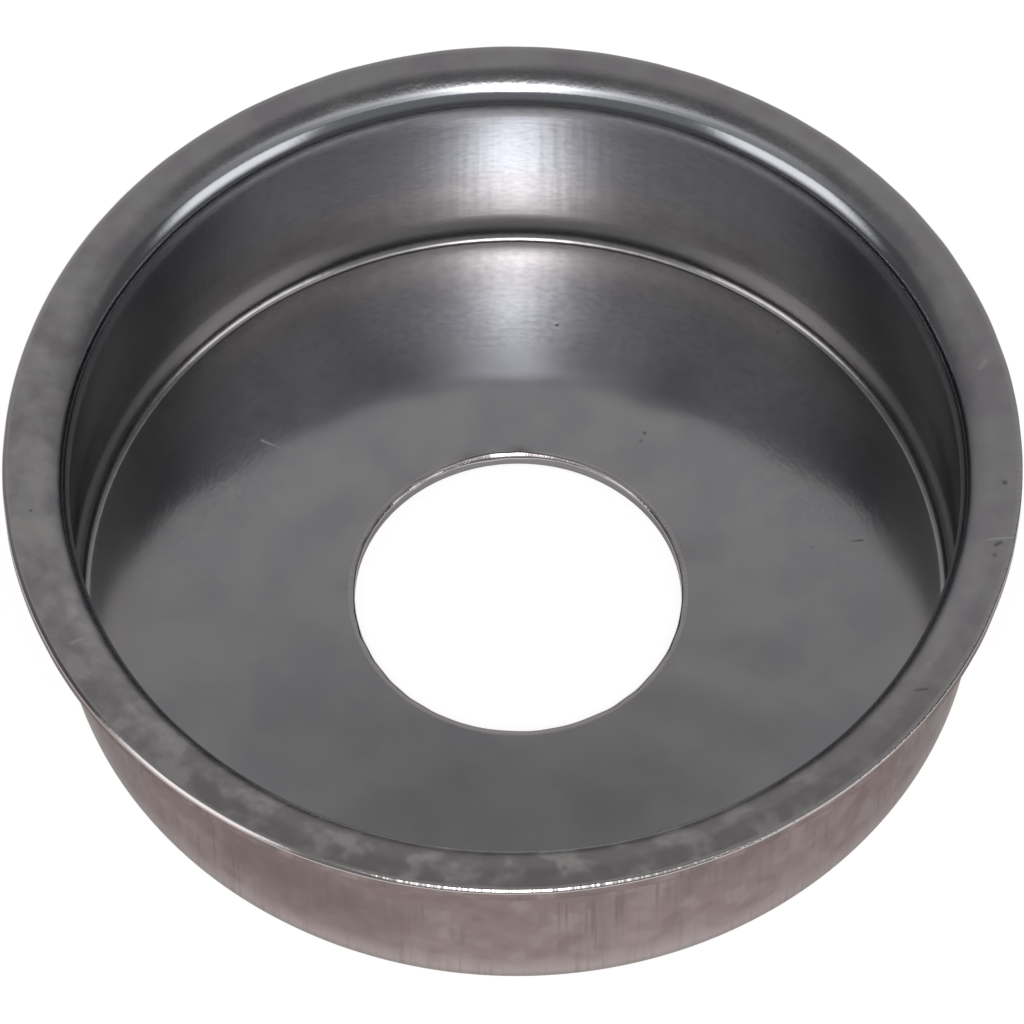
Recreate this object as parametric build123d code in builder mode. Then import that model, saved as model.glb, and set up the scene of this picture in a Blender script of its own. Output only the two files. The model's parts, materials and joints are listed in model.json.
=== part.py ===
"""Turbo heat shield: a deep-drawn sheet-steel cup with a flat rim flange and a pierced floor.

The shield stands between a turbocharger's hot turbine wheel and its bearing housing. The flange is
clamped between the two housings, the cup reaches towards the turbine wheel, and the turbine shaft
passes through the bore in the cup's floor. It is pressed from one disc of stainless sheet, so it is
equally thick from the bore's edge to the rim.

Lengths are in millimetres. The origin is on the bore's axis at the underside of the floor, and the
open mouth faces +Z.
"""

import os

from build123d import *

os.makedirs("parts", exist_ok=True)

# The sheet
sheet_thickness = 1.2

# The drawn cup: the punch shapes its inner face and the die's lip shapes the underside of its mouth
punch_radius = 35.4
punch_nose_radius = 1.9
die_lip_radius = 1.0
cup_height = 20.5

# The flat ring of the flange, outside the bend at the mouth, and the bore pierced in the floor
flange_flat_width = 2.4
bore_radius = 13.1

# The edge that is drawn in where the trim die and the piercing punch enter the sheet
rim_edge_break = 0.4
bore_edge_break = 0.3

# The bend at the mouth on the upper face, and the trimmed flange that starts where it ends
mouth_bend_radius = die_lip_radius + sheet_thickness
flange_radius = punch_radius + mouth_bend_radius + flange_flat_width

with BuildPart() as heat_shield:
    with BuildSketch(Plane.XZ) as section:
        with BuildLine() as sheet_line:
            # The upper face of the sheet, from the bore over the floor and up the wall to the rim
            floor_line = Line((bore_radius, sheet_thickness), (punch_radius, sheet_thickness))
            wall_line = Line(floor_line @ 1, (punch_radius, cup_height))
            Line(wall_line @ 1, (flange_radius, cup_height))
            floor_corner = sheet_line.vertices().sort_by_distance(wall_line @ 0)[0]
            fillet(floor_corner, punch_nose_radius)
            mouth_corner = sheet_line.vertices().sort_by_distance(wall_line @ 1)[0]
            fillet(mouth_corner, mouth_bend_radius)
            # The lower face runs beside it, one thickness away
            offset(amount=sheet_thickness, side=Side.RIGHT, closed=True)
        make_face()

        # The flange is trimmed from above, and the bore is pierced from inside the cup
        rim_corner = section.vertices().group_by(Axis.X)[-1].sort_by(Axis.Y)[-1]
        chamfer(rim_corner, rim_edge_break)
        bore_corner = section.vertices().group_by(Axis.X)[0].sort_by(Axis.Y)[-1]
        chamfer(bore_corner, bore_edge_break)
    revolve(axis=Axis.Z)

heat_shield.part.label = "heat_shield"
export_step(heat_shield.part, "parts/heat_shield.step")
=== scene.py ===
"""Turbo heat shield: the pressed cup's surface, its metal finish, and the studio it stands in."""

import json
import math

import bpy
import numpy as np
from mathutils import Matrix, Vector

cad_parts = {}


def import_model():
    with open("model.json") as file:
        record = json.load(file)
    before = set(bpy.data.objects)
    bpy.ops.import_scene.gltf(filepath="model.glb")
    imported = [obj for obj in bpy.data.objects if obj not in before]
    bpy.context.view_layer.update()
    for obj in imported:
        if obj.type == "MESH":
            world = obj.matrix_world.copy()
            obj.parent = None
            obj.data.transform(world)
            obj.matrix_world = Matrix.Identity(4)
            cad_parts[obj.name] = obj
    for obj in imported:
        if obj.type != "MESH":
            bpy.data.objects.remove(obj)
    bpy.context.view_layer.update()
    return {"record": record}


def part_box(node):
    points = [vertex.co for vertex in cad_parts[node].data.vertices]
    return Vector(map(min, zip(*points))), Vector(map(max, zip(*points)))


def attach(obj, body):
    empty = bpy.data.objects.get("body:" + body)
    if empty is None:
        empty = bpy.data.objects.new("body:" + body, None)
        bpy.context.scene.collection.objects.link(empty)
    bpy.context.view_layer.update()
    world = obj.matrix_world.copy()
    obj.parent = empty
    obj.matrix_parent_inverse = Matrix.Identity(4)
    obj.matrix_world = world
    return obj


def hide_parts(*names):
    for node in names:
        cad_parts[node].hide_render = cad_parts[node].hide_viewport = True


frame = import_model()


# Heat shield, the form. A cup drawn from one disc of stainless sheet, with a flat flange round its
# mouth and a bore pierced in its floor. The punch leaves a tight line round the floor and an easy
# sweep above it. The two cut edges are drawn in where the trim die and the piercing punch entered.
mount_radius = {m["name"]: m["dims"].get("r_mm", 0.0) for m in frame["record"]["mounts"]}
cup_inside = mount_radius["cup_bore"]
bore_radius = mount_radius["shaft_bore"]
sheet = mount_radius["cup_wall"] - cup_inside
flange_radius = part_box("heat_shield")[1][0] * 1000
cup_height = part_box("heat_shield")[1][2] * 1000

# The upper face's bends and drawn-in edges, as arcs: a radius in millimetres, and the angle in
# degrees up to which it turns. The rim's edge is wider on the near left and smaller on the right.
floor_bend = ((6.0, 2.6), (0.5, 26), (0.8, 47.5), (1.5, 68), (6.1, 86.5), (45.0, 90))
mouth_bend = ((3.4, 30), (2.8, 71.5), (2.4, 81), (4.2, 90))
bore_bend = ((0.08, 29), (2.2, 41), (0.35, 90))
rim_bend_front = ((0.05, 28), (1.4, 38), (0.2, 90))
rim_bend_left = ((0.05, 36), (1.3, 47), (0.2, 90))
rim_share_right = 0.45
rim_steps = 16

# The lower face's bends, the small edges where the cutting tools left the sheet, and how far the
# wall closes in at its mouth inside and all the way outside
foot_bend_radius = 3.1
lip_bend_radius = 1.0
exit_edge = 0.10
wall_closes_in = 0.36
outside_draws_in = 0.02
columns_round = 500


def straight(start, end, steps):
    """Points evenly spaced from start to end, without the end itself."""
    share = np.linspace(0.0, 1.0, steps, endpoint=False)[:, None]
    return np.array(start) * (1 - share) + np.array(end) * share


def bend(centre, radius, start_degrees, end_degrees, steps):
    """Points of a circular arc about a centre, evenly spaced in angle, without the last one."""
    angle = np.radians(np.linspace(start_degrees, end_degrees, steps, endpoint=False))[:, None]
    return np.array(centre) + radius * np.hstack([np.cos(angle), np.sin(angle)])


def swept_bend(arcs, steps):
    """A quarter turn made of arcs with common tangents, as distances along the level and away from it.

    Each arc is a radius and the angle in degrees up to which it turns, and the first leaves the level.
    """
    angle = np.radians(np.linspace(0, 90, steps))
    level, away, begins = np.zeros(steps), np.zeros(steps), 0.0
    for radius, ends in arcs:
        part = np.clip(angle, begins, math.radians(ends))
        level += radius * (np.sin(part) - math.sin(begins))
        away += radius * (math.cos(begins) - np.cos(part))
        begins = math.radians(ends)
    return np.stack([level, away], axis=1)


def sheet_section():
    """The sheet's closed outline in radius and height, and the run that each point belongs to.

    It starts at the bore, crosses the floor's upper face, climbs the inside of the wall, crosses the
    flange and comes back along the outside, so that the metal lies on its right.
    """
    wall_outside = cup_inside + sheet - outside_draws_in
    flange_under = cup_height - sheet
    bore_edge = swept_bend(bore_bend, 9)[::-1]
    nose = swept_bend(floor_bend, 45)
    mouth = swept_bend(mouth_bend, 36)[::-1]
    rim_edge = swept_bend(rim_bend_front, rim_steps)
    floor_start = np.array([bore_radius + bore_edge[0, 0], sheet])
    floor_end = np.array([cup_inside - nose[-1, 0], sheet])
    flange_start = np.array([cup_inside - wall_closes_in + mouth[0, 0], cup_height])
    rim_flat = np.array([flange_radius - rim_edge[-1, 0], cup_height])
    rim_top = cup_height - rim_edge[-1, 1]
    rim_foot = flange_radius - exit_edge
    lip_centre = (wall_outside + lip_bend_radius, flange_under - lip_bend_radius)
    foot_centre = (wall_outside - foot_bend_radius, foot_bend_radius)
    runs = {
        "bore_edge": floor_start - bore_edge[:-1],
        "floor": straight(floor_start, floor_end, 30),
        "nose": floor_end + nose[:-1],
        "inside": straight(floor_end + nose[-1], flange_start - mouth[0], 10),
        "mouth": flange_start - mouth[:-1],
        "flange": straight(flange_start, rim_flat, 7),
        "rim_edge": rim_flat + rim_edge[:-1] * (1, -1),
        "rim": straight((flange_radius, rim_top), (flange_radius, flange_under + exit_edge), 3),
        "rim_exit": bend((rim_foot, flange_under + exit_edge), exit_edge, 0, -90, 3),
        "flange_under": straight((rim_foot, flange_under), (lip_centre[0], flange_under), 4),
        "lip": bend(lip_centre, lip_bend_radius, 90, 180, 8),
        "outside": straight((wall_outside, lip_centre[1]), (wall_outside, foot_bend_radius), 8),
        "foot": bend(foot_centre, foot_bend_radius, 0, -90, 12),
        "underside": straight((foot_centre[0], 0.0), (bore_radius + exit_edge, 0.0), 6),
        "bore_exit": bend((bore_radius + exit_edge, exit_edge), exit_edge, -90, -180, 3),
        "bore": straight((bore_radius, exit_edge), (bore_radius, sheet - bore_edge[0, 1]), 2),
    }
    names = np.concatenate([np.full(len(points), name, dtype=object) for name, points in runs.items()])
    return np.concatenate(list(runs.values())), names


def closed_grid_faces(rows, columns):
    """Quads of a grid that closes on itself both ways, turned so that each normal leaves the metal."""
    row = np.arange(rows)[:, None]
    column = np.arange(columns)[None, :]
    next_row = (row + 1) % rows
    next_column = (column + 1) % columns
    corners = [row * columns + column, next_row * columns + column,
               next_row * columns + next_column, row * columns + next_column]
    return np.stack(corners, axis=-1).reshape(-1, 4)


def smooth_step(value, low, high):
    """0 below low, 1 above high, and a smooth cubic rise between them."""
    share = np.clip((value - low) / (high - low), 0.0, 1.0)
    return share * share * (3 - 2 * share)


def slow_waves(angle, count, turns, seed, distance=0.0, wavelength=1.0):
    """A sum of cosine waves with random phases that closes round the turn, of about unit size.

    Each wave has a whole number of crests round the turn, up to turns, and a random pitch along the
    sheet, no shorter than wavelength.
    """
    draw = np.random.default_rng(seed)
    crests = draw.integers(2, turns, count)
    pitch = draw.uniform(-1, 1, count) * 2 * np.pi / wavelength
    phase = draw.uniform(0, 2 * np.pi, count)
    waves = np.cos(crests * angle[..., None] + pitch * np.asarray(distance)[..., None] + phase)
    return waves.sum(axis=-1) / math.sqrt(count / 2)


def degrees_from(place):
    """How far round each column lies from a place on the turn, in degrees from -180 to 180."""
    return np.degrees(np.angle(np.exp(1j * (turn[0] - math.radians(place)))))


section, run_names = sheet_section()
angles = np.linspace(0.0, 2 * np.pi, columns_round, endpoint=False)
turn = np.repeat(angles[None, :], len(section), axis=0)
radius = np.repeat(section[:, :1], columns_round, axis=1)
height = np.repeat(section[:, 1:], columns_round, axis=1)
steps = np.linalg.norm(np.diff(section, axis=0, append=section[:1]), axis=1)
along = np.concatenate([[0.0], np.cumsum(steps)[:-1]])
distance = np.repeat(along[:, None], columns_round, axis=1)

# The piercing punch drew the bore's edge in most on the far side, left of the middle
deepest_place, deepest_spread = 97.0, 17.0
even_entry, deepest_entry, entry_beads = 0.42, 0.50, 0.06
least_entry, most_entry = 0.2, 0.97
bore_edge_rows = run_names == "bore_edge"
deepest = np.exp(-(degrees_from(deepest_place) / deepest_spread) ** 2)
entry_share = even_entry + deepest_entry * deepest + entry_beads * slow_waves(turn[0], 12, 40, 7)
entry_share = np.clip(entry_share, least_entry, most_entry)
radius[bore_edge_rows] = bore_radius + (radius[bore_edge_rows] - bore_radius) * entry_share
height[bore_edge_rows] = sheet + (height[bore_edge_rows] - sheet) * entry_share

# The floor springs up towards its bore by less than a millimetre, with these slopes in degrees at
# these radii, summed inwards over fine rings
spring_radius = np.array([13.0, 16.0, 18.0, 20.0, 22.0, 24.0, 26.0, 28.0, 30.0, 32.0])
spring_slope = np.tan(np.radians([2.2, 2.4, 3.2, 3.8, 4.0, 3.6, 2.8, 1.8, 0.9, 0.0]))
ring_radius = np.linspace(spring_radius[-1], spring_radius[0], 191)
ring_slope = np.interp(ring_radius, spring_radius, spring_slope)
ring_climb = (ring_slope[1:] + ring_slope[:-1]) / 2 * -np.diff(ring_radius)
ring_rise = np.concatenate([[0.0], np.cumsum(ring_climb)])
height = height + np.interp(radius, ring_radius[::-1], ring_rise[::-1])

# The sheet is not quite true: slow waves left by the draw, about a hundredth of a millimetre deep
wave_depth = 0.010
wavy_runs = ["floor", "nose", "inside", "mouth", "outside"]
tangent = np.roll(section, -1, axis=0) - np.roll(section, 1, axis=0)
tangent = tangent / np.linalg.norm(tangent, axis=1, keepdims=True)
wave = wave_depth * slow_waves(turn, 24, 22, 11, distance, 14.0)
wave = wave * np.isin(run_names, wavy_runs)[:, None]
radius = radius - tangent[:, 1:] * wave
height = np.minimum(height + tangent[:, :1] * wave, cup_height)

# This shield is pressed a hair under its nominal size
press_share = 0.996
radius, height = radius * press_share, height * press_share

# The trimmed edge is drawn in steeply and widely on the near left, and hardly at all on the right
from_near = degrees_from(-90.0)
left_share = smooth_step(-from_near, 11.0, 20.0) * (1 - smooth_step(-from_near, 48.0, 72.0))
right_share = smooth_step(from_near, 10.0, 40.0) + smooth_step(-from_near, 100.0, 130.0)
edge_size = 1 - (1 - rim_share_right) * right_share
edge_shape = (swept_bend(rim_bend_front, rim_steps)[:, None, :] * (1 - left_share)[:, None]
              + swept_bend(rim_bend_left, rim_steps)[:, None, :] * left_share[:, None])
edge_reach, edge_shape = edge_shape[-1, :, 0], edge_shape[:-1]
edge_rows = np.flatnonzero(run_names == "rim_edge")
radius[edge_rows] = (flange_radius - (edge_reach - edge_shape[..., 0]) * edge_size) * press_share
height[edge_rows] = (cup_height - edge_shape[..., 1] * edge_size) * press_share

# The flange is trimmed off the cup's axis, so it is widest on the left, and the cut wanders a little
trim_radius, trim_offset, trim_wander = 39.83, 0.22, 0.012
widest = flange_radius - 0.005
trimmed = np.minimum(trim_radius - trim_offset * np.cos(turn), widest)
trimmed = np.minimum(trimmed + trim_wander * slow_waves(turn[:1], 20, 60, 5), widest)
on_flange_rows = section[:, 1:] > cup_height / 2
trim_share = smooth_step(section[:, :1], cup_inside + 3.0, flange_radius - 0.6) * on_flange_rows
radius = radius + trim_share * (trimmed - flange_radius * press_share)

# The bore lies off the axis too, with the floor round it moving less and less up to a radius where it
# stays, and the outside of the wall lies a little to the right of the inside
bore_shift = (0.24, -0.76)
outside_shift = 0.14
moved_radius, staying_radius = 13.5, 19.5
bore_share = 1 - smooth_step(section[:, :1], moved_radius, staying_radius)
outside_rows = np.isin(run_names, ["lip", "outside", "foot"])[:, None]
across = radius * np.cos(turn) + bore_shift[0] * bore_share + outside_shift * outside_rows
depth = radius * np.sin(turn) + bore_shift[1] * bore_share
points = np.stack([across, depth, height], axis=-1).reshape(-1, 3) / 1000
faces = closed_grid_faces(*radius.shape)

shell_mesh = bpy.data.meshes.new("pressed_shell")
shell_mesh.vertices.add(len(points))
shell_mesh.vertices.foreach_set("co", points.ravel())
shell_mesh.loops.add(faces.size)
shell_mesh.loops.foreach_set("vertex_index", faces.ravel())
shell_mesh.polygons.add(len(faces))
shell_mesh.polygons.foreach_set("loop_start", np.arange(len(faces)) * 4)
shell_mesh.polygons.foreach_set("loop_total", np.full(len(faces), 4))
shell_mesh.update(calc_edges=True)
shell_mesh.validate()
shell_mesh.polygons.foreach_set("use_smooth", np.ones(len(faces), dtype=bool))

shell = bpy.data.objects.new("pressed_shell", shell_mesh)
bpy.context.collection.objects.link(shell)
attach(shell, "root")
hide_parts("heat_shield")


# Heat shield, the finish. Bare stainless: half-bright inside where the punch slid, with fine lines
# along the draw, matte and cloudy on the flange, torn to a rough band where the sheet ran over the
# lip, and browner outside, with upright draw lines and a paler foot.
def vertex_layer(name, kind, field, values):
    """Stores one value or one vector per vertex, in the grid's order, for the finish to read."""
    layer = shell_mesh.attributes.new(name, kind, "POINT")
    layer.data.foreach_set(field, np.ascontiguousarray(values, dtype=np.float32).ravel())


def start_of(run):
    """Distance along the section, in millimetres, at which a run starts."""
    return along[run_names == run][0]


def after(place, low, high):
    """0 before place plus low and 1 after place plus high, along the section, with a smooth ramp."""
    return smooth_step(distance, place + low, place + high)


def before(place, low, high):
    """1 before place plus low and 0 after place plus high, along the section, with a smooth ramp."""
    return 1 - after(place, low, high)


bore_edge_end, floor_end, flange_at = start_of("floor"), start_of("nose"), start_of("flange")
rim_at, foot_at, underside_at = start_of("rim_edge"), start_of("foot"), start_of("underside")
on_wall = after(floor_end, 0.0, 1.0) * before(flange_at, -4.6, -3.6)
on_high_wall = smooth_step(height, 8.5, 11.5) * on_wall
by_corner = after(floor_end, -4.5, -1.2) * before(floor_end, 2.0, 4.5)
on_sweep = after(floor_end, 1.3, 2.0) * before(floor_end, 2.6, 3.6)
on_sweep += 0.8 * after(flange_at, -5.2, -4.5) * before(flange_at, -3.7, -3.4)

# The flange's matte starts later on the far side, where the torn band lies between it and the wall
far_share = smooth_step(np.sin(turn), 0.15, 0.70)
on_flange = after(flange_at - 3.1 + 1.2 * far_share, 0.0, 0.8) * before(rim_at, -0.1, 0.1)
on_torn_band = after(flange_at, -1.8, -1.35) * before(flange_at, -0.9, 0.05)
on_foot = after(foot_at, -2.6, 0.6) * before(underside_at, 0.0, 1.0)

# The cut edges: the rim's is beaded along the near side, the bore's only faintly
beaded = 1 - smooth_step(-from_near, 12.0, 22.0) * 0.94 - smooth_step(from_near, 70.0, 110.0) * 0.9
on_bore_edge = before(bore_edge_end, -0.02, 0.3)
on_beads = after(rim_at, -0.1, 0.1) * beaded + on_bore_edge * 0.3
on_cut_edge = after(rim_at, -0.1, 0.05) + on_bore_edge

inside_zones = np.stack([on_sweep, on_wall, on_high_wall, by_corner], axis=-1)
edge_zones = np.stack([on_flange, on_torn_band, on_beads, on_foot], axis=-1)
around_and_along = np.stack([np.cos(turn), np.sin(turn), distance], axis=-1)
vertex_layer("around", "FLOAT_VECTOR", "vector", around_and_along)
vertex_layer("inside_zones", "FLOAT_COLOR", "color", inside_zones)
vertex_layer("trimmed_edge", "FLOAT", "value", on_cut_edge)
vertex_layer("edge_zones", "FLOAT_COLOR", "color", edge_zones)


def node(tree, kind, inputs=None, **settings):
    """Adds a node, sets its settings, and gives each input a link from a socket or a plain value."""
    made = tree.nodes.new(kind)
    for name, value in settings.items():
        setattr(made, name, value)
    for name, value in (inputs or {}).items():
        if isinstance(value, bpy.types.NodeSocket):
            tree.links.new(value, made.inputs[name])
        else:
            made.inputs[name].default_value = value
    return made


def math_of(tree, operation, first, second=0.0, third=0.0, clamp=False):
    """One Math node's result."""
    return node(tree, "ShaderNodeMath", {0: first, 1: second, 2: third},
                operation=operation, use_clamp=clamp).outputs[0]


def vector_of(tree, operation, inputs, output=0):
    """One Vector Math node's result."""
    return node(tree, "ShaderNodeVectorMath", inputs, operation=operation).outputs[output]


def product(tree, *factors):
    """Sockets and plain values multiplied together."""
    total = factors[0]
    for factor in factors[1:]:
        total = math_of(tree, "MULTIPLY", total, factor)
    return total


def add_up(tree, *terms):
    """The sum of (socket, factor) terms."""
    total = 0.0
    for socket, factor in terms:
        total = math_of(tree, "MULTIPLY_ADD", socket, factor, total)
    return total


def between(tree, value, low, high):
    """0 below low, 1 above high, smooth between. With low above high it falls instead."""
    made = node(tree, "ShaderNodeMapRange", {"Value": value, "From Min": low, "From Max": high},
                interpolation_type="SMOOTHSTEP")
    return made.outputs["Result"]


def blend_colour(tree, share, first, second):
    """first where share is 0 and second where it is 1."""
    return node(tree, "ShaderNodeMix", {0: share, 6: first, 7: second}, data_type="RGBA").outputs[2]


def layered(tree, colour, *coats):
    """A colour with coats laid over it in turn, each a share and the colour that it brings."""
    for share, coat in coats:
        colour = blend_colour(tree, share, colour, coat)
    return colour


def new_group(name, inputs, output):
    """An empty shader node group with its sockets, as (group, its input sockets, its output socket)."""
    group = bpy.data.node_groups.new(name, "ShaderNodeTree")
    for socket, value in inputs.items():
        kind = "NodeSocketVector" if value is None else "NodeSocketFloat"
        made = group.interface.new_socket(socket, in_out="INPUT", socket_type=kind)
        if value is not None:
            made.default_value = value
    group.interface.new_socket(output, in_out="OUTPUT", socket_type="NodeSocketFloat")
    given = group.nodes.new("NodeGroupInput").outputs
    return group, given, group.nodes.new("NodeGroupOutput").inputs[output]


# Lines along or across the draw: noise stretched over the sheet, in lines per millimetre
draw_lines, given, result = new_group(
    "draw_lines", {"Across": 40.0, "Along": 0.1, "Detail": 3.0}, "Lines")
around = node(draw_lines, "ShaderNodeAttribute", attribute_name="around").outputs["Vector"]
stretch = node(draw_lines, "ShaderNodeCombineXYZ",
               {"X": given["Across"], "Y": given["Across"], "Z": given["Along"]}).outputs[0]
stretched = vector_of(draw_lines, "MULTIPLY", {0: around, 1: stretch})
lines = node(draw_lines, "ShaderNodeTexNoise",
             {"Vector": stretched, "Scale": 1.0, "Detail": given["Detail"], "Roughness": 0.6})
draw_lines.links.new(lines.outputs["Fac"], result)

# One scratch: a narrow mark along a run from its start, in millimetres. The step is the run over its
# squared length, and the fall is what the mark loses per millimetre beside the run.
scratch_mark, given, result = new_group(
    "scratch_mark",
    {"Position": None, "Start": None, "Run": None, "Step": None, "Fall": -9.0, "Strength": 1.0}, "Mark")
offset = vector_of(scratch_mark, "SUBTRACT", {0: given["Position"], 1: given["Start"]})
passed = vector_of(scratch_mark, "DOT_PRODUCT", {0: offset, 1: given["Step"]}, "Value")
passed = math_of(scratch_mark, "ADD", passed, 0.0, clamp=True)
foot_point = vector_of(scratch_mark, "SCALE", {0: given["Run"], "Scale": passed})
gap = vector_of(scratch_mark, "DISTANCE", {0: offset, 1: foot_point}, "Value")
mark = math_of(scratch_mark, "MULTIPLY_ADD", gap, given["Fall"], given["Strength"])
scratch_mark.links.new(mark, result)

# One pit: a round spot about its start
pit_mark, given, result = new_group(
    "pit_mark", {"Position": None, "Start": None, "Fall": -9.0, "Strength": 1.0}, "Mark")
gap = vector_of(pit_mark, "DISTANCE", {0: given["Position"], 1: given["Start"]}, "Value")
pit_mark.links.new(math_of(pit_mark, "MULTIPLY_ADD", gap, given["Fall"], given["Strength"]), result)


def place_in_millimetres(tree):
    """The object's own coordinates in millimetres, as one vector and as its X, Y and Z."""
    place = node(tree, "ShaderNodeTexCoord").outputs["Object"]
    place = vector_of(tree, "SCALE", {0: place, "Scale": 1000.0})
    return place, *node(tree, "ShaderNodeSeparateXYZ", {0: place}).outputs


def clouds(tree, place, scale, detail, roughness=0.6):
    """Noise over a position, with scale in cells per millimetre."""
    return node(tree, "ShaderNodeTexNoise", {
        "Vector": place, "Scale": scale, "Detail": detail, "Roughness": roughness}).outputs["Fac"]


def lines_along(tree, across, along_sheet, detail):
    """The draw_lines group with its own spacing."""
    return node(tree, "ShaderNodeGroup", {"Across": across, "Along": along_sheet, "Detail": detail},
                node_tree=draw_lines).outputs["Lines"]


def zones_of(tree, attribute):
    """The four zone shares stored in a vertex layer."""
    layer = node(tree, "ShaderNodeAttribute", attribute_name=attribute)
    parts = node(tree, "ShaderNodeSeparateColor", {0: layer.outputs["Color"]})
    return parts.outputs[0], parts.outputs[1], parts.outputs[2], layer.outputs["Alpha"]


def marks_of(tree, place, marks):
    """The strongest of several marks.

    A scratch is given as its start, its end, its half width in millimetres and its strength, and a
    pit as its centre, its half width and its strength.
    """
    strongest = 0.0
    for start, *end, half_width, strength in marks:
        shape = {"Position": place, "Start": start, "Fall": -strength / half_width,
                 "Strength": strength}
        if end:
            run = Vector(end[0]) - Vector(start)
            shape.update({"Run": run, "Step": run / run.length_squared})
        made = node(tree, "ShaderNodeGroup", shape, node_tree=scratch_mark if end else pit_mark)
        strongest = math_of(tree, "MAXIMUM", strongest, made.outputs["Mark"])
    return strongest


def metal_of(name):
    """A new bare metal material, as (material, its node tree, its Principled node)."""
    material = bpy.data.materials.new(name)
    material.use_nodes = True
    principled = material.node_tree.nodes["Principled BSDF"]
    principled.inputs["Metallic"].default_value = 1.0
    principled.inputs["Specular Tint"].default_value = (0.5, 0.5, 0.5, 1)
    return material, material.node_tree, principled


def give_relief(tree, principled, *terms):
    """Bumps the surface by the sum of (socket, millimetres) terms."""
    millimetre = 0.001
    bump = node(tree, "ShaderNodeBump",
                {"Height": add_up(tree, *terms), "Strength": 1.0, "Distance": millimetre})
    tree.links.new(bump.outputs["Normal"], principled.inputs["Normal"])


# The marks, at the height of the sheet where they lie: the floor is higher nearer the bore
floor_top, flange_top, lip_top = sheet + 0.15, cup_height * press_share, cup_height * press_share - 0.2
pale_mark_colour = (0.62, 0.61, 0.60, 1)
dark_mark_colour = (0.12, 0.115, 0.12, 1)
pale_mark_relief, dark_mark_relief = 0.012, -0.02
inside_pale_marks = [
    ((-20.5, 14.4, floor_top), (-18.9, 13.6, floor_top), 0.16, 0.9),
    ((-18.9, 13.6, floor_top), (-18.3, 12.3, floor_top), 0.12, 0.6),
]
inside_dark_marks = [
    ((3.45, 25.75, floor_top), 0.22, 0.6),
    ((21.4, 24.9, sheet + 0.05), 0.18, 0.7),
    ((23.8, 3.75, floor_top), 0.2, 0.6),
    ((27.0, 4.5, sheet), (27.9, 4.6, sheet), 0.10, 0.5),
    ((10.5, 14.6, sheet + 0.7), 0.26, 0.8),
    ((10.2, 13.8, sheet + 0.75), 0.24, 0.7),
]
outside_smudges = [
    ((-20.5, -30.3, 10.5), (-12.5, -34.4, 8.5), 7.0, 0.75),
]
flange_pale_marks = [
    ((34.9, -8.2, flange_top), (38.9, -7.9, flange_top), 0.13, 0.7),
    ((30.7, -19.3, flange_top), (31.7, -19.4, flange_top), 0.22, 0.5),
    ((-34.1, -17.4, flange_top), (-32.2, -16.4, flange_top), 0.22, 0.5),
    ((-33.85, -14.35, flange_top), 0.55, 0.5),
    ((36.2, -0.6, flange_top), (36.5, 0.2, flange_top), 0.4, 0.35),
    ((36.6, 8.1, flange_top), (37.0, 8.7, flange_top), 0.3, 0.4),
    ((-9.4, 35.7, lip_top), (-8.2, 36.1, lip_top), 0.2, 0.35),
    ((-7.9, 36.0, lip_top), (-7.3, 36.2, lip_top), 0.2, 0.35),
]
flange_dark_marks = [
    ((38.1, -2.8, flange_top), 0.3, 0.9),
    ((37.2, -8.6, flange_top), (37.6, -8.4, flange_top), 0.26, 0.8),
    ((37.1, -9.55, flange_top), 0.28, 0.7),
    ((30.6, -21.9, flange_top), (31.5, -21.8, flange_top), 0.20, 0.6),
    ((-37.6, -5.15, flange_top), 0.18, 0.9),
    ((-2.45, -36.75, flange_top), 0.32, 0.6),
    ((3.65, -37.65, flange_top), 0.3, 0.5),
]

# The inside, drawn over the punch: half-bright, bluer high on the wall, warmer by the corner, dulled
# along the two bends, painted paler on the low sweep as painted light, and dappled by fine brushing on
# the wall and the far part of the floor
dull_steel, clear_steel = (0.345, 0.338, 0.352, 1), (0.385, 0.383, 0.392, 1)
high_wall_colour, corner_colour = (0.375, 0.386, 0.415, 1), (0.420, 0.396, 0.384, 1)
# The low sweep's pale colour is painted light, standing in for the light that bend catches
sweep_painted_light = (0.560, 0.555, 0.560, 1)
dapple_light, dapple_dark, dapple_share = (0.470, 0.462, 0.460, 1), (0.270, 0.268, 0.290, 1), 0.28
inside_finish, tree, steel = metal_of("drawn_stainless")
place, _, place_y, place_z = place_in_millimetres(tree)
sweep_share, wall_share, high_share, corner_share = zones_of(tree, "inside_zones")
patches = clouds(tree, place, 0.17, 2.0)
dapple = lines_along(tree, 38.0, 2.6, 1.0)
upright = lines_along(tree, 45.0, 0.06, 1.0)
from_centre = vector_of(tree, "LENGTH", {0: place}, "Value")
brushed = product(tree, between(tree, from_centre, 20.0, 26.0), between(tree, place_y, -4.0, 14.0))
pale = marks_of(tree, place, inside_pale_marks)
dark = marks_of(tree, place, inside_dark_marks)
colour = layered(
    tree, blend_colour(tree, between(tree, patches, 0.34, 0.66), dull_steel, clear_steel),
    (product(tree, high_share, 0.8), high_wall_colour),
    (product(tree, corner_share, 0.6), corner_colour),
    (product(tree, between(tree, dapple, 0.45, 0.72), brushed, dapple_share), dapple_light),
    (product(tree, between(tree, dapple, 0.50, 0.28), brushed, dapple_share), dapple_dark),
    (product(tree, sweep_share, between(tree, place_z, 12.0, 8.0), 0.7), sweep_painted_light),
    (pale, pale_mark_colour),
    (dark, dark_mark_colour))
roughness = add_up(tree, (wall_share, 0.05), (corner_share, 0.03), (sweep_share, 0.26), (patches, 0.06),
                   (1.0, 0.10))
tree.links.new(colour, steel.inputs["Base Color"])
tree.links.new(roughness, steel.inputs["Roughness"])
give_relief(tree, steel, (product(tree, upright, wall_share), 0.010),
            (product(tree, dapple, brushed), 0.0038), (product(tree, dapple, wall_share), 0.0014),
            (pale, pale_mark_relief), (dark, dark_mark_relief))
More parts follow.
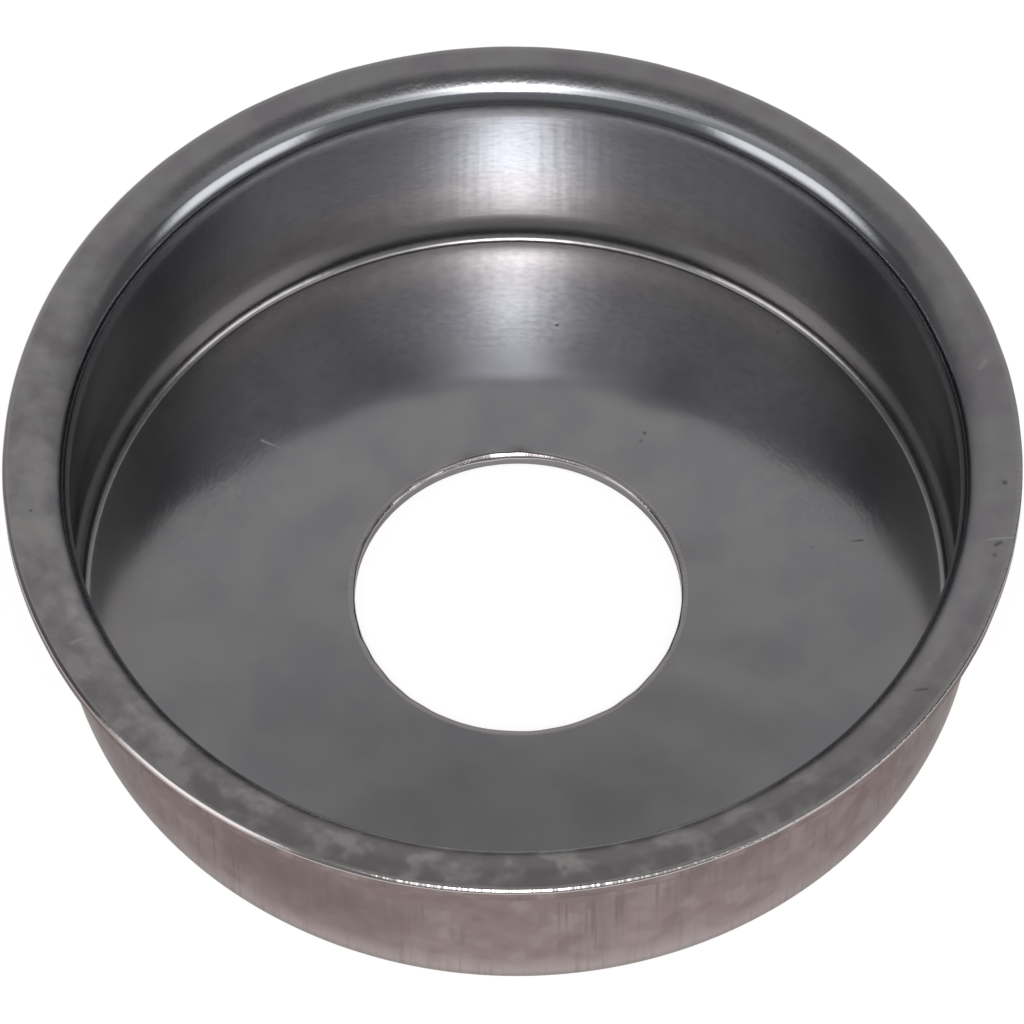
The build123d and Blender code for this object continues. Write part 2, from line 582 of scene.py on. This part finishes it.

# The flange and the bend at the mouth: matte, cloudy and more worn on the near left, with the torn
# band on the far side, darkened partly by painted shade, and paler steel on both cut edges
flange_dull, flange_clear = (0.338, 0.322, 0.342, 1), (0.388, 0.376, 0.380, 1)
near_colour, left_colour = (0.285, 0.266, 0.278, 1), (0.470, 0.455, 0.455, 1)
cloud_pale, cloud_dull = (0.468, 0.452, 0.440, 1), (0.250, 0.232, 0.248, 1)
scuff_colour, bend_colour = (0.560, 0.536, 0.528, 1), (0.372, 0.380, 0.405, 1)
cut_colour, torn_and_shade_colour = (0.475, 0.440, 0.440, 1), (0.205, 0.198, 0.210, 1)
least_roughness = 0.12
flange_finish, tree, steel = metal_of("flange_stainless")
place, place_x, place_y, _ = place_in_millimetres(tree)
flange_share, torn_share, bead_share, _ = zones_of(tree, "edge_zones")
cut_share = node(tree, "ShaderNodeAttribute", attribute_name="trimmed_edge").outputs["Fac"]
patches = clouds(tree, place, 0.17, 2.0)
mottle = clouds(tree, place, 0.42, 2.0, 0.55)
grain = clouds(tree, place, 2.6, 1.0, 0.7)
beads = lines_along(tree, 80.0, 0.3, 1.0)
near_side = between(tree, place_y, -10.0, -34.0)
left_side = between(tree, place_x, -22.0, -38.0)
far_side = between(tree, place_y, 10.0, 33.0)
worn_side = between(tree, math_of(tree, "ADD", place_x, place_y), 10.0, -36.0)
smeared = add_up(tree, (between(tree, grain, 0.35, 0.70), 0.6), (1.0, 0.4))
# The torn band darkens almost only on the far side: partly its own rough steel, partly painted shade
torn_and_shaded = product(tree, torn_share, add_up(tree, (far_side, 0.94), (1.0, 0.06)))
torn_and_shade_depth = add_up(tree, (between(tree, grain, 0.30, 0.66), 0.25), (1.0, 0.45))
pale_clouds = product(tree, between(tree, mottle, 0.44, 0.70),
                      add_up(tree, (worn_side, 0.35), (1.0, 0.30)))
dull_clouds = product(tree, between(tree, mottle, 0.52, 0.32),
                      add_up(tree, (worn_side, 0.35), (1.0, 0.10)))
scuffs = product(tree, between(tree, mottle, 0.52, 0.67), smeared, worn_side, 0.32)
pale = marks_of(tree, place, flange_pale_marks)
dark = marks_of(tree, place, flange_dark_marks)
colour = layered(
    tree, blend_colour(tree, between(tree, patches, 0.38, 0.62), flange_dull, flange_clear),
    (product(tree, near_side, 0.95), near_colour),
    (product(tree, left_side, 0.28), left_colour),
    (pale_clouds, cloud_pale),
    (dull_clouds, cloud_dull),
    (scuffs, scuff_colour))
colour = layered(
    tree, blend_colour(tree, flange_share, bend_colour, colour),
    (cut_share, cut_colour),
    (product(tree, torn_and_shaded, torn_and_shade_depth), torn_and_shade_colour),
    (pale, pale_mark_colour),
    (dark, dark_mark_colour))
roughness = add_up(tree, (flange_share, 0.14), (torn_and_shaded, 0.03), (patches, 0.05), (bead_share, -0.10),
                   (product(tree, mottle, flange_share), 0.14), (1.0, 0.105))
tree.links.new(colour, steel.inputs["Base Color"])
tree.links.new(math_of(tree, "MAXIMUM", roughness, least_roughness), steel.inputs["Roughness"])
give_relief(tree, steel, (product(tree, mottle, flange_share), 0.014), (grain, 0.0025),
            (product(tree, grain, flange_share), 0.004), (product(tree, grain, torn_and_shaded), 0.014),
            (product(tree, beads, bead_share), 0.06),
            (pale, pale_mark_relief), (dark, dark_mark_relief))

# The outside and the underside, which ran over the die's lip: browner, darker up the wall as painted
# shade under the flange and paler low down as painted light, stained, with upright draw lines in
# patches, one wide smudge, a paler lined foot and a greyer bore wall
# The wall's colour runs darker towards the flange and paler towards the foot: painted shade and light
painted_lit_low_colour, painted_shade_high_colour = (0.298, 0.243, 0.241, 1), (0.222, 0.176, 0.171, 1)
dim_colour, smudge_colour = (0.262, 0.200, 0.196, 1), (0.175, 0.138, 0.134, 1)
stain_dark, stain_pale = (0.205, 0.158, 0.146, 1), (0.345, 0.292, 0.290, 1)
line_pale, line_dark = (0.360, 0.270, 0.252, 1), (0.165, 0.128, 0.126, 1)
foot_colour, foot_line_colour = (0.440, 0.388, 0.380, 1), (0.250, 0.208, 0.202, 1)
bore_colour = (0.232, 0.222, 0.232, 1)
outside_finish, tree, steel = metal_of("outside_stainless")
place, _, _, place_z = place_in_millimetres(tree)
foot_share = zones_of(tree, "edge_zones")[3]
patches = clouds(tree, place, 0.15, 2.0, 0.65)
stains = clouds(tree, place, 0.42, 1.0)
upright = lines_along(tree, 26.0, 0.04, 2.0)
fine_lines = lines_along(tree, 120.0, 0.10, 1.0)
lined = between(tree, patches, 0.42, 0.62)
from_centre = vector_of(tree, "LENGTH", {0: place}, "Value")
colour = layered(
    tree, blend_colour(tree, between(tree, place_z, 3.0, 17.0), painted_lit_low_colour, painted_shade_high_colour),
    (product(tree, between(tree, patches, 0.60, 0.36), 0.8), dim_colour),
    (product(tree, between(tree, stains, 0.50, 0.70), 0.55), stain_dark),
    (product(tree, between(tree, stains, 0.48, 0.32), 0.45), stain_pale),
    (product(tree, between(tree, upright, 0.50, 0.72), lined, 0.46), line_pale),
    (product(tree, between(tree, fine_lines, 0.50, 0.76), lined, 0.50), line_dark),
    (marks_of(tree, place, outside_smudges), smudge_colour),
    (product(tree, foot_share, 0.75), foot_colour),
    (between(tree, from_centre, 16.0, 14.0), bore_colour),
    (product(tree, between(tree, fine_lines, 0.48, 0.72), foot_share, 0.40), foot_line_colour))
roughness = add_up(tree, (patches, 0.14), (fine_lines, 0.06), (1.0, 0.18))
tree.links.new(colour, steel.inputs["Base Color"])
tree.links.new(roughness, steel.inputs["Roughness"])
give_relief(tree, steel, (upright, 0.014), (fine_lines, 0.006))

# Each row of the grid takes the finish of its run. The flange's starts in the bend at the mouth.
inside_index, flange_index, outside_index = range(3)
for material in (inside_finish, flange_finish, outside_finish):
    shell_mesh.materials.append(material)
outside_runs = ["rim", "rim_exit", "flange_under", "lip", "outside", "foot", "underside",
                "bore_exit", "bore"]
flange_rows = (along >= flange_at - 3.4) & (along < start_of("rim")) | (run_names == "bore_edge")
material_of_row = np.full(len(section), inside_index, dtype=np.int32)
material_of_row[flange_rows] = flange_index
material_of_row[np.isin(run_names, outside_runs)] = outside_index
shell_mesh.polygons.foreach_set("material_index", np.repeat(material_of_row, columns_round))


# Studio floor. A wide pale board that the shield rests on, white to the camera and to the metal. The
# added white lights nothing, so it is left out of the lamps, and the grey card keeps the shadow.
board_half, board_top = 3.0, -0.0001
board_grey, board_added_white = (0.5, 0.5, 0.5, 1), 0.78
board_mesh = bpy.data.meshes.new("studio_floor")
board_mesh.from_pydata([(-board_half, -board_half, board_top), (board_half, -board_half, board_top),
                        (board_half, board_half, board_top), (-board_half, board_half, board_top)],
                       [], [(0, 1, 2, 3)])
board = bpy.data.objects.new("studio_floor", board_mesh)
bpy.context.collection.objects.link(board)
board_finish = bpy.data.materials.new("pale_board")
board_finish.use_nodes = True
board_finish.cycles.emission_sampling = "NONE"
tree = board_finish.node_tree
tree.nodes.clear()
rays = node(tree, "ShaderNodeLightPath").outputs
seen = math_of(tree, "MAXIMUM", rays["Is Camera Ray"], rays["Is Glossy Ray"])
seen = math_of(tree, "MAXIMUM", seen, rays["Is Transmission Ray"])
glow = product(tree, seen, board_added_white)
white = node(tree, "ShaderNodeEmission", {"Strength": glow}).outputs[0]
card = node(tree, "ShaderNodeBsdfDiffuse", {"Color": board_grey}).outputs[0]
card_and_white = node(tree, "ShaderNodeAddShader", {0: card, 1: white}).outputs[0]
node(tree, "ShaderNodeOutputMaterial", {"Surface": card_and_white})
board_mesh.materials.append(board_finish)


# Studio light. A pale room with soft boxes: a small bright one over the camera with a wide dimmer
# one behind it, a tall one to each side, a weak front fill, and a pale wall beyond the shield. Each
# is a window in the angle aside from the camera's side and the angle up from the level, in degrees.
room = bpy.data.worlds.new("pale_room")
bpy.context.scene.world = room
room.use_nodes = True
tree = room.node_tree
tree.nodes.clear()
way = node(tree, "ShaderNodeTexCoord").outputs["Generated"]
way = node(tree, "ShaderNodeSeparateXYZ", {0: way}).outputs
in_degrees = 180 / math.pi
rise_up = product(tree, math_of(tree, "ARCSINE", way["Z"]), in_degrees)
towards_camera = product(tree, way["Y"], -1.0)
sideways = math_of(tree, "ABSOLUTE", way["X"])
aside = product(tree, math_of(tree, "ARCTAN2", sideways, towards_camera), in_degrees)


def soft_window(value, low, low_end, high, high_end):
    """1 between low_end and high, falling smoothly to 0 at low and at high_end, in degrees."""
    return product(tree, between(tree, value, low, low_end), between(tree, value, high_end, high))


def halving(level, halves_in):
    """A level straight ahead that halves with every so many degrees aside."""
    return math_of(tree, "POWER", 0.5, math_of(tree, "DIVIDE", aside, halves_in)), level


over_camera = add_up(tree, halving(9.2, 7.4), halving(3.6, 2.6),
                     (soft_window(aside, -2, -1, 66, 112), 0.62))
over_camera_height = add_up(tree, (soft_window(rise_up, 41.5, 45.5, 61, 69), 0.57),
                            (soft_window(rise_up, 53.0, 57.5, 61, 69), 0.43))
side_boxes = product(tree, soft_window(aside, 40, 50, 72, 84), soft_window(rise_up, 6, 24, 36, 43))
front_fill = product(tree, soft_window(aside, -2, -1, 40, 52), soft_window(rise_up, 10, 22, 38, 44))
far_wall = product(tree, between(tree, aside, 92, 152), between(tree, rise_up, 84, 46))
side_box_level, front_fill_level, far_wall_level, room_level = 1.75, 0.16, 0.37, 0.13
room_strength = add_up(tree, (product(tree, over_camera, over_camera_height), 1.0),
                       (side_boxes, side_box_level), (front_fill, front_fill_level),
                       (far_wall, far_wall_level), (1.0, room_level))
plain_white = (1, 1, 1, 1)
painted = node(tree, "ShaderNodeBackground", {"Color": plain_white, "Strength": room_strength})
white = node(tree, "ShaderNodeBackground", {"Color": plain_white, "Strength": 1.0})
seen = node(tree, "ShaderNodeLightPath").outputs["Is Camera Ray"]
room_or_white = node(tree, "ShaderNodeMixShader",
                     {0: seen, 1: painted.outputs[0], 2: white.outputs[0]}).outputs[0]
node(tree, "ShaderNodeOutputWorld", {"Surface": room_or_white})


# Camera. A long lens from the photograph's angle. It looks at the middle of the shield's underside,
# and three small turns then move the shield to where the photograph has it.
rise = math.radians(56.93)
camera_distance = 0.654
photo_pixels, focal_pixels = 1024, 8167.0
yaw, pitch, roll = -2.95 / focal_pixels, 85.38 / focal_pixels, -0.0028


def turned(first, second, angle):
    """Two directions at right angles, both turned in their own plane, the first towards the second."""
    return (math.cos(angle) * first + math.sin(angle) * second,
            math.cos(angle) * second - math.sin(angle) * first)


stand = Vector((0, -camera_distance * math.cos(rise), camera_distance * math.sin(rise)))
forward = -stand.normalized()
right = Vector((1, 0, 0))
up = right.cross(forward)
forward, right = turned(forward, right, yaw)
forward, up = turned(forward, up, pitch)
right, up = turned(right, up, roll)
lens = bpy.data.cameras.new("photo_camera")
lens.sensor_width = 36.0
lens.lens = focal_pixels * lens.sensor_width / photo_pixels
lens.clip_start = 0.05
lens.clip_end = 20
camera = bpy.data.objects.new("photo_camera", lens)
camera.matrix_world = Matrix.Translation(stand) @ Matrix((right, up, -forward)).transposed().to_4x4()
bpy.context.collection.objects.link(camera)
bpy.context.scene.camera = camera
bpy.context.scene.view_settings.view_transform = "Standard"
